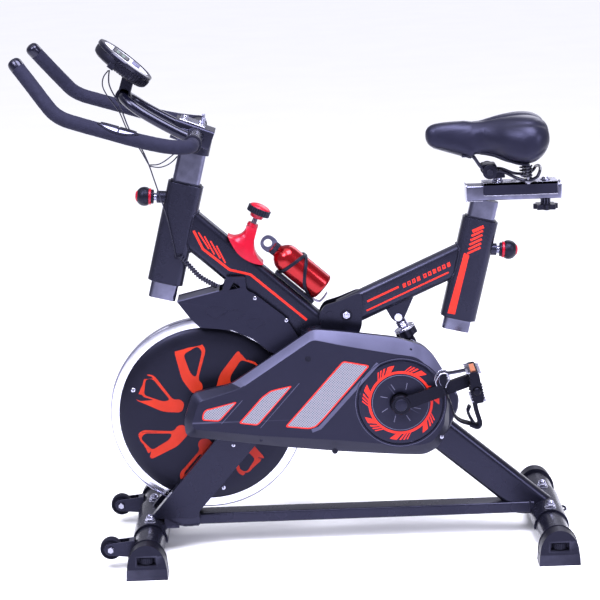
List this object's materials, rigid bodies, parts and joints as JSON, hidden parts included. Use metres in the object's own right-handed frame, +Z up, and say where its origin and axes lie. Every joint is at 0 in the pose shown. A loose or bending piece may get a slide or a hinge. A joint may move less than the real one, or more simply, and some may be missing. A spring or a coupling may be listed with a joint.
{
  "type": "indoor spin bike",
  "caption": "Free-standing exercise bike with a belt-driven flywheel, friction brake, adjustable handlebar and saddle, sprung seat arm, pedals, console and bottle.",
  "frame": {"origin": "on the floor, under the middle of the bounding box", "axes": "+X towards the rear of the bike (saddle end), +Y to the rider's right, +Z up"},
  "size_m": [1.17, 0.4912, 1.1353],
  "materials": {
    "frame_paint": "satin black",
    "black_plastic": "fine matte",
    "black_foam": "matte foam",
    "saddle_cover": "matte grained cover",
    "chrome": "polished",
    "flywheel_iron": "polished rim",
    "steel": "brushed",
    "red_plastic": "gloss",
    "bottle_red": "metallic red lacquer",
    "rubber": "matte",
    "felt": "dense felt"
  },
  "bodies": {
    "frame": {"head_tube": "frame_paint", "down_tube": "frame_paint", "rear_leg": "frame_paint", "base_rail": "frame_paint", "front_leg_left": "frame_paint", "front_leg_right": "frame_paint", "front_stabilizer": "frame_paint", "rear_stabilizer": "frame_paint", "front_cap_left": "black_plastic", "front_cap_right": "black_plastic", "rear_cap_left": "black_plastic", "rear_cap_right": "black_plastic", "chain_guard": "black_plastic", "chain_guard_back": "black_plastic", "flywheel_guard": "black_plastic", "bottom_bracket": "steel", "brake_mount": "red_plastic", "bottle_cage": "black_plastic", "drive_belt": "rubber", "damper_body": "steel", "sensor_lead": "rubber"},
    "front_leveller_left": {"front_leveller_left": "black_plastic"},
    "front_leveller_right": {"front_leveller_right": "black_plastic"},
    "rear_leveller_left": {"rear_leveller_left": "black_plastic"},
    "rear_leveller_right": {"rear_leveller_right": "black_plastic"},
    "transport_wheel_left": {"transport_wheel_left": "rubber"},
    "transport_wheel_right": {"transport_wheel_right": "rubber"},
    "flywheel": {"flywheel": "flywheel_iron", "flywheel_cover_left": "black_plastic", "flywheel_cover_right": "black_plastic"},
    "crank": {"crank_pulley": "steel", "crank_left": "frame_paint", "crank_right": "frame_paint"},
    "pedal_left": {"pedal_left": "black_plastic", "toe_cage_left": "black_plastic"},
    "pedal_right": {"pedal_right": "black_plastic", "toe_cage_right": "black_plastic"},
    "handlebar": {"handlebar_post": "chrome", "handlebar": "frame_paint", "grip_left": "black_foam", "grip_right": "black_foam", "pulse_sensor_left": "chrome", "pulse_sensor_right": "chrome", "console_lead": "rubber"},
    "console": {"console": "black_plastic"},
    "console_button": {"console_button": "steel"},
    "handlebar_pin": {"handlebar_pin": "red_plastic"},
    "brake": {"brake_rod": "steel", "brake_pad": "felt"},
    "brake_knob": {"brake_knob": "red_plastic"},
    "seat_arm": {"seat_arm": "frame_paint", "damper_spring": "steel"},
    "seat_post": {"seat_post": "chrome"},
    "seat_pin": {"seat_pin": "red_plastic"},
    "seat_slider": {"slider_carriage": "steel"},
    "slider_knob": {"slider_knob": "black_plastic"},
    "saddle": {"saddle_rails": "steel", "saddle": "saddle_cover"},
    "bottle": {"bottle": "bottle_red"},
    "bottle_cap": {"bottle_cap": "black_plastic"}
  },
  "joints": [
    {"name": "flywheel_spin", "type": "hinge", "parent": "frame", "child": "flywheel", "pos_m": [-0.20951, 0, 0.3027], "axis": [0, 1, 0], "continuous": true},
    {"name": "crank_spin", "type": "hinge", "parent": "frame", "child": "crank", "pos_m": [0.21519, 0, 0.3345], "axis": [0, 1, 0], "continuous": true},
    {"name": "pedal_left_spin", "type": "hinge", "parent": "crank", "child": "pedal_left", "pos_m": [0.37149, -0.176, 0.3865], "axis": [0, 1, 0], "continuous": true},
    {"name": "pedal_right_spin", "type": "hinge", "parent": "crank", "child": "pedal_right", "pos_m": [0.05889, 0.176, 0.2825], "axis": [0, 1, 0], "continuous": true},
    {"name": "transport_wheel_left_spin", "type": "hinge", "parent": "frame", "child": "transport_wheel_left", "pos_m": [-0.42501, -0.157, 0.047], "axis": [0, 1, 0], "continuous": true},
    {"name": "transport_wheel_right_spin", "type": "hinge", "parent": "frame", "child": "transport_wheel_right", "pos_m": [-0.42501, 0.157, 0.047], "axis": [0, 1, 0], "continuous": true},
    {"name": "front_leveller_left_turn", "type": "hinge", "parent": "frame", "child": "front_leveller_left", "pos_m": [-0.34371, -0.2292, 0.043], "axis": [0, 0, 1], "range_deg": [-360, 360]},
    {"name": "front_leveller_right_turn", "type": "hinge", "parent": "frame", "child": "front_leveller_right", "pos_m": [-0.34371, 0.2292, 0.043], "axis": [0, 0, 1], "range_deg": [-360, 360]},
    {"name": "rear_leveller_left_turn", "type": "hinge", "parent": "frame", "child": "rear_leveller_left", "pos_m": [0.54079, -0.2292, 0.043], "axis": [0, 0, 1], "range_deg": [-360, 360]},
    {"name": "rear_leveller_right_turn", "type": "hinge", "parent": "frame", "child": "rear_leveller_right", "pos_m": [0.54079, 0.2292, 0.043], "axis": [0, 0, 1], "range_deg": [-360, 360]},
    {"name": "handlebar_height", "type": "slide", "parent": "frame", "child": "handlebar", "axis": [0.2478, 0, 0.9688], "range_m": [-0.03, 0.1]},
    {"name": "handlebar_pin_pull", "type": "slide", "parent": "frame", "child": "handlebar_pin", "axis": [-0.9977, 0, 0.068], "range_m": [0, 0.012], "stiffness_N_per_m": 800, "springref_m": -0.004},
    {"name": "console_tilt", "type": "hinge", "parent": "handlebar", "child": "console", "pos_m": [-0.35951, 0, 1.012], "axis": [0, 1, 0], "range_deg": [-8, 12]},
    {"name": "console_button_press", "type": "slide", "parent": "console", "child": "console_button", "axis": [-0.6429, 0, -0.7659], "range_m": [0, 0.002], "stiffness_N_per_m": 500, "springref_m": -0.001},
    {"name": "brake_press", "type": "slide", "parent": "frame", "child": "brake", "axis": [-0.4291, 0, -0.9032], "range_m": [0, 0.003], "stiffness_N_per_m": 4000, "springref_m": -0.003},
    {"name": "brake_knob_turn", "type": "hinge", "parent": "brake", "child": "brake_knob", "pos_m": [-0.08351, 0, 0.7398], "axis": [0.4291, 0, 0.9032], "range_deg": [-720, 720]},
    {"name": "seat_arm_suspension", "type": "hinge", "parent": "frame", "child": "seat_arm", "pos_m": [0.10479, 0, 0.5183], "axis": [0, 1, 0], "range_deg": [0, 3], "stiffness_Nm_per_rad": 4200, "springref_deg": -1.72, "deforming": ["damper_spring"]},
    {"name": "seat_height", "type": "slide", "parent": "seat_arm", "child": "seat_post", "axis": [0.2381, 0, 0.9712], "range_m": [-0.02, 0.1]},
    {"name": "seat_pin_pull", "type": "slide", "parent": "seat_arm", "child": "seat_pin", "axis": [0.9977, 0, -0.068], "range_m": [0, 0.012], "stiffness_N_per_m": 800, "springref_m": -0.004},
    {"name": "seat_slide", "type": "slide", "parent": "seat_post", "child": "seat_slider", "axis": [1, 0, 0], "range_m": [-0.03, 0.005]},
    {"name": "slider_knob_turn", "type": "hinge", "parent": "seat_slider", "child": "slider_knob", "pos_m": [0.54649, 0, 0.74], "axis": [0, 0, 1], "range_deg": [-360, 360]},
    {"name": "saddle_tilt", "type": "hinge", "parent": "seat_slider", "child": "saddle", "pos_m": [0.42349, 0, 0.8229], "axis": [0, 1, 0], "range_deg": [-6, 6]},
    {"name": "bottle_turn", "type": "hinge", "parent": "frame", "child": "bottle", "pos_m": [0.05519, 0, 0.5749], "axis": [-0.7431, 0, 0.6691], "range_deg": [-180, 180]},
    {"name": "bottle_cap_turn", "type": "hinge", "parent": "bottle", "child": "bottle_cap", "pos_m": [0.05519, 0, 0.5749], "axis": [-0.7431, 0, 0.6691], "range_deg": [0, 720]}
  ],
  "couplings": [
    {"joint": "crank_spin", "follows": "flywheel_spin", "ratio": 0.27778}
  ]
}
